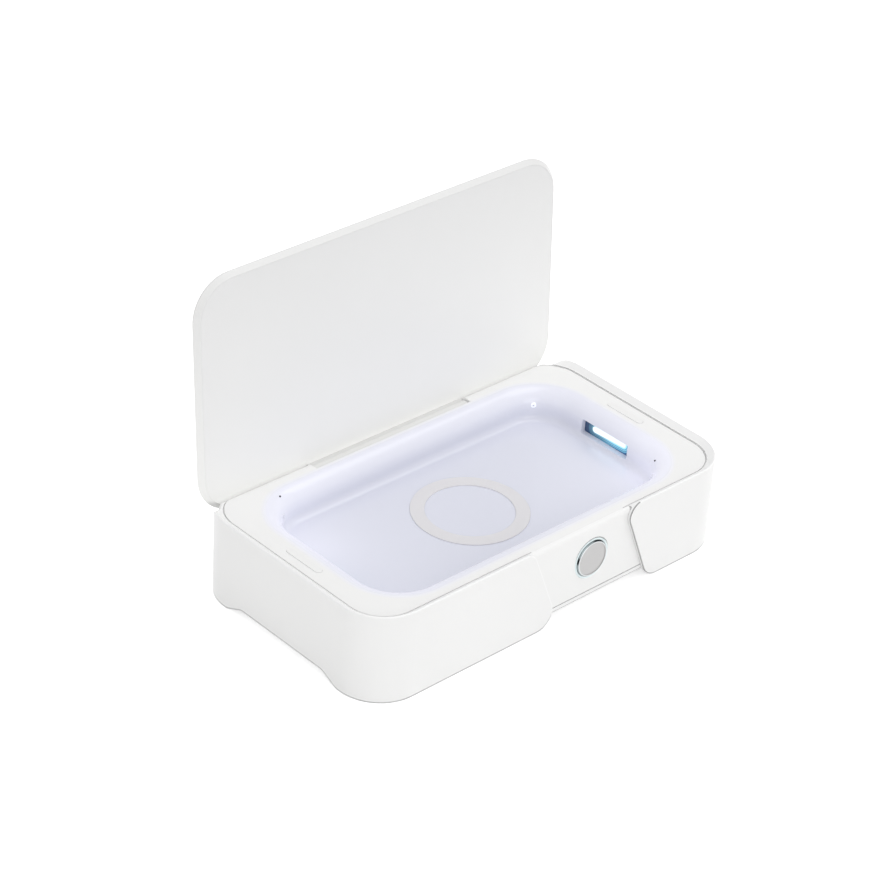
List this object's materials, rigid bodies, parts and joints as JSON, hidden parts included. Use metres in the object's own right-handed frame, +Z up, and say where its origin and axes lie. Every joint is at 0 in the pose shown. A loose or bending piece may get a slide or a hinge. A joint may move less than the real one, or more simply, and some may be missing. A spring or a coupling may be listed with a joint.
{
  "type": "uv sanitizer box for phones",
  "caption": "White tabletop UV sanitizer box for phones with a hinged lid standing open, a glossy tray lit violet, side shells and a brushed power button.",
  "frame": {"origin": "on the table, under the middle of the box that the open case fills", "axes": "+Z up; +X to the right as the front with the power button is faced, along the case's long side; +Y to the back, where the lid is hinged"},
  "size_m": [0.228, 0.1353, 0.157],
  "materials": {
    "white_plastic": "satin",
    "gloss_tray": "glossy",
    "lid_grey": "satin",
    "button_metal": "brushed",
    "ring_light": "lit",
    "clear_pane": "clear",
    "lamp_mirror": "polished",
    "lamp_glass": "lit",
    "lamp_metal": "satin",
    "violet_lens": "lit",
    "soft_pad": "matte",
    "soft_ring": "matte",
    "foot_rubber": "matte",
    "circuit_board": "satin",
    "black_plastic": "satin",
    "copper_coil": "satin",
    "ferrite": "matte",
    "screw_steel": "satin",
    "steel_pin": "satin",
    "magnet_nickel": "polished",
    "socket_steel": "satin"
  },
  "bodies": {
    "base": {"board_screws": "screw_steel", "bottom_cover": "white_plastic", "case_screws": "screw_steel", "charge_ring": "soft_ring", "charging_coil": "copper_coil", "coil_bracket": "white_plastic", "corner_lamps": "violet_lens", "ferrite_plate": "ferrite", "hinge_pin": "steel_pin", "housing": "white_plastic", "lamp_caps_left": "lamp_metal", "lamp_caps_right": "lamp_metal", "lamp_driver_board": "circuit_board", "lamp_pane_left": "clear_pane", "lamp_pane_right": "clear_pane", "lamp_reflector_left": "lamp_mirror", "lamp_reflector_right": "lamp_mirror", "lamp_tube_left": "lamp_glass", "lamp_tube_right": "lamp_glass", "lid_sensor": "black_plastic", "light_ring": "ring_light", "main_board": "circuit_board", "power_socket": "socket_steel", "rim_pad_left": "soft_pad", "rim_pad_right": "soft_pad", "rubber_feet": "foot_rubber", "side_shell_left": "white_plastic", "side_shell_right": "white_plastic", "switch_board": "circuit_board", "switch_screws": "screw_steel", "tact_switch": "black_plastic", "tray": "gloss_tray"},
    "lid": {"lid_cover": "white_plastic", "lid_liner": "lid_grey", "lid_magnet": "magnet_nickel"},
    "button": {"button_cap": "button_metal", "switch_plunger": "black_plastic"}
  },
  "joints": [
    {"name": "lid_hinge", "type": "hinge", "parent": "base", "child": "lid", "pos_m": [0, 0.05183, 0.0402], "axis": [1, 0, 0], "range_deg": [0, 93.5]},
    {"name": "power_button", "type": "slide", "parent": "base", "child": "button", "axis": [0, 1, 0], "range_m": [0, 0.001], "stiffness_N_per_m": 300}
  ]
}
